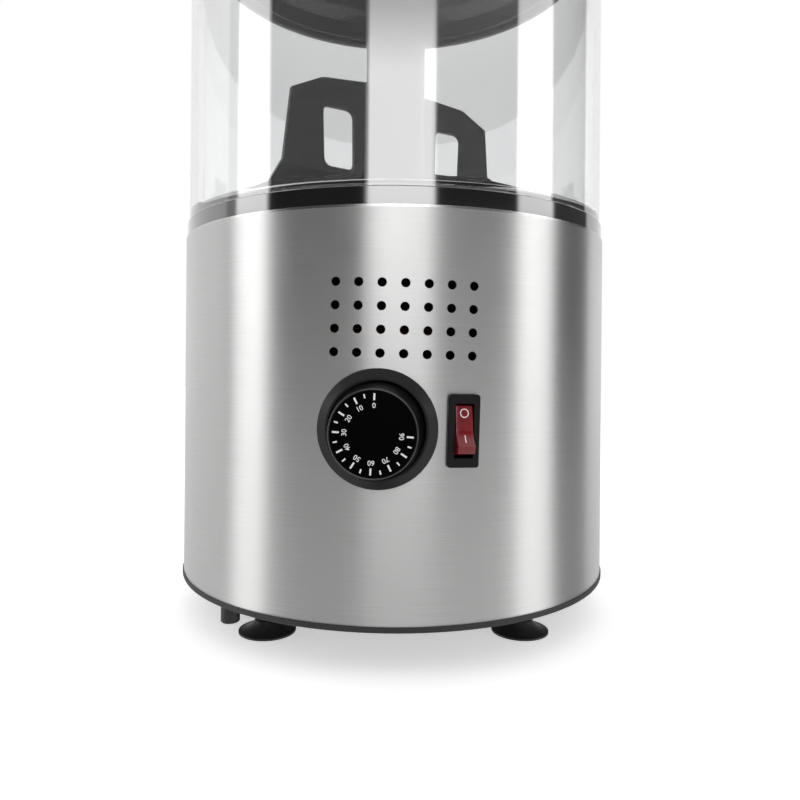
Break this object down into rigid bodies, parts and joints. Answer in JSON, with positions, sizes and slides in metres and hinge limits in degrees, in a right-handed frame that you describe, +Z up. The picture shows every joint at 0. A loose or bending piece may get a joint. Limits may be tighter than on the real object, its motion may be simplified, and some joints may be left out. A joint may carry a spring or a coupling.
{
  "type": "hot chocolate dispenser machine",
  "caption": "Countertop hot chocolate dispenser: steel drum with heated water bath, clear stirred tank, front tap over a drip tray, dial and rocker switch at the back.",
  "frame": {"origin": "on the drum's axis, in the plane of the feet", "axes": "+Z up; -Y towards the tap and drip tray; +Y towards the dial and switch; +X to the right of someone facing the tap"},
  "size_m": [0.2388, 0.4064, 0.4421],
  "materials": {
    "brushed_steel": "satin, brushed round the drum",
    "plain_steel": "smooth stainless",
    "zinc": "zinc plated",
    "black_gloss": "glossy",
    "black_matt": "matt moulded",
    "black_rubber": "soft rubber",
    "white_plastic": "moulded",
    "clear_plastic": "clear polycarbonate",
    "red_lens": "translucent red",
    "silicone": "silicone",
    "cast_heater": "cast",
    "motor_paint": "painted can",
    "copper_tube": "drawn copper",
    "spring_wire": "spring steel"
  },
  "bodies": {
    "base": {"body_shell": "brushed_steel", "base_pan": "black_matt", "foot_front_left": "black_rubber", "foot_front_right": "black_rubber", "foot_back_right": "black_rubber", "foot_back_left": "black_rubber", "stud_front_left": "zinc", "stud_front_right": "zinc", "stud_back_right": "zinc", "stud_back_left": "zinc", "cord_gland": "black_matt", "gland_nut": "zinc", "dial_bezel": "black_gloss", "thermostat_body": "black_matt", "thermostat_nut": "zinc", "switch_frame": "black_gloss", "bath_pan": "plain_steel", "heater_ring": "cast_heater", "overheat_cutout": "white_plastic", "thermostat_bulb": "copper_tube", "capillary": "copper_tube", "bath_bush": "white_plastic", "motor_plate": "plain_steel", "motor": "motor_paint", "gearbox": "cast_heater", "terminal_block": "white_plastic"},
    "shaft": {"drive_shaft": "plain_steel"},
    "knob": {"dial_knob": "black_gloss", "dial_spindle": "plain_steel"},
    "rocker": {"rocker": "red_lens"},
    "tank": {"tank_bowl": "clear_plastic", "tank_gasket": "black_rubber", "tap_gasket": "black_rubber", "tap_body": "black_gloss", "tap_nut": "black_matt", "tap_cap": "black_gloss", "lever_pin": "plain_steel", "tap_spring": "spring_wire"},
    "piston": {"tap_piston": "white_plastic", "piston_ring": "silicone", "seat_washer": "silicone"},
    "lever": {"tap_lever": "black_gloss"},
    "paddle": {"paddle": "black_gloss", "paddle_cap": "black_gloss"},
    "lid": {"lid": "black_gloss", "lid_knob": "black_gloss", "lid_screw": "plain_steel"},
    "tray": {"drip_tray": "black_matt"},
    "grid": {"drip_grid": "plain_steel"}
  },
  "joints": [
    {"name": "dial_turn", "type": "hinge", "parent": "base", "child": "knob", "pos_m": [0.00906, 0.11765, 0.10564], "axis": [-0.0767, -0.9971, 0], "range_deg": [0, 268]},
    {"name": "rocker_tilt", "type": "hinge", "parent": "base", "child": "rocker", "pos_m": [-0.02693, 0.11334, 0.10481], "axis": [-0.9727, -0.2311, -0.0227], "range_deg": [0, 18]},
    {"name": "shaft_spin", "type": "hinge", "parent": "base", "child": "shaft", "pos_m": [0, 0, 0.12], "axis": [0, 0, 1], "continuous": true},
    {"name": "tank_lift", "type": "slide", "parent": "base", "child": "tank", "axis": [0, 0, 1], "range_m": [0, 0.145]},
    {"name": "paddle_spin", "type": "hinge", "parent": "tank", "child": "paddle", "pos_m": [0, 0, 0.25], "axis": [0, 0, 1], "continuous": true},
    {"name": "lid_lift", "type": "slide", "parent": "tank", "child": "lid", "axis": [0, 0, 1], "range_m": [0, 0.08]},
    {"name": "tap_lever", "type": "hinge", "parent": "tank", "child": "lever", "pos_m": [0, -0.16356, 0.289], "axis": [1, 0, 0], "range_deg": [0, 40.71], "stiffness_Nm_per_rad": 0.5, "springref_deg": -22.92},
    {"name": "piston_slide", "type": "slide", "parent": "tank", "child": "piston", "axis": [0, 0, 1], "range_m": [0, 0.0162], "deforming": ["tap_spring"]},
    {"name": "tray_lift", "type": "slide", "parent": "base", "child": "tray", "axis": [0, 0, 1], "range_m": [0, 0.018]},
    {"name": "grid_lift", "type": "slide", "parent": "tray", "child": "grid", "axis": [0, 0, 1], "range_m": [0, 0.04]}
  ],
  "couplings": [
    {"joint": "paddle_spin", "follows": "shaft_spin", "ratio": 1},
    {"joint": "piston_slide", "follows": "tap_lever", "m_per_rad": 0.022519}
  ]
}
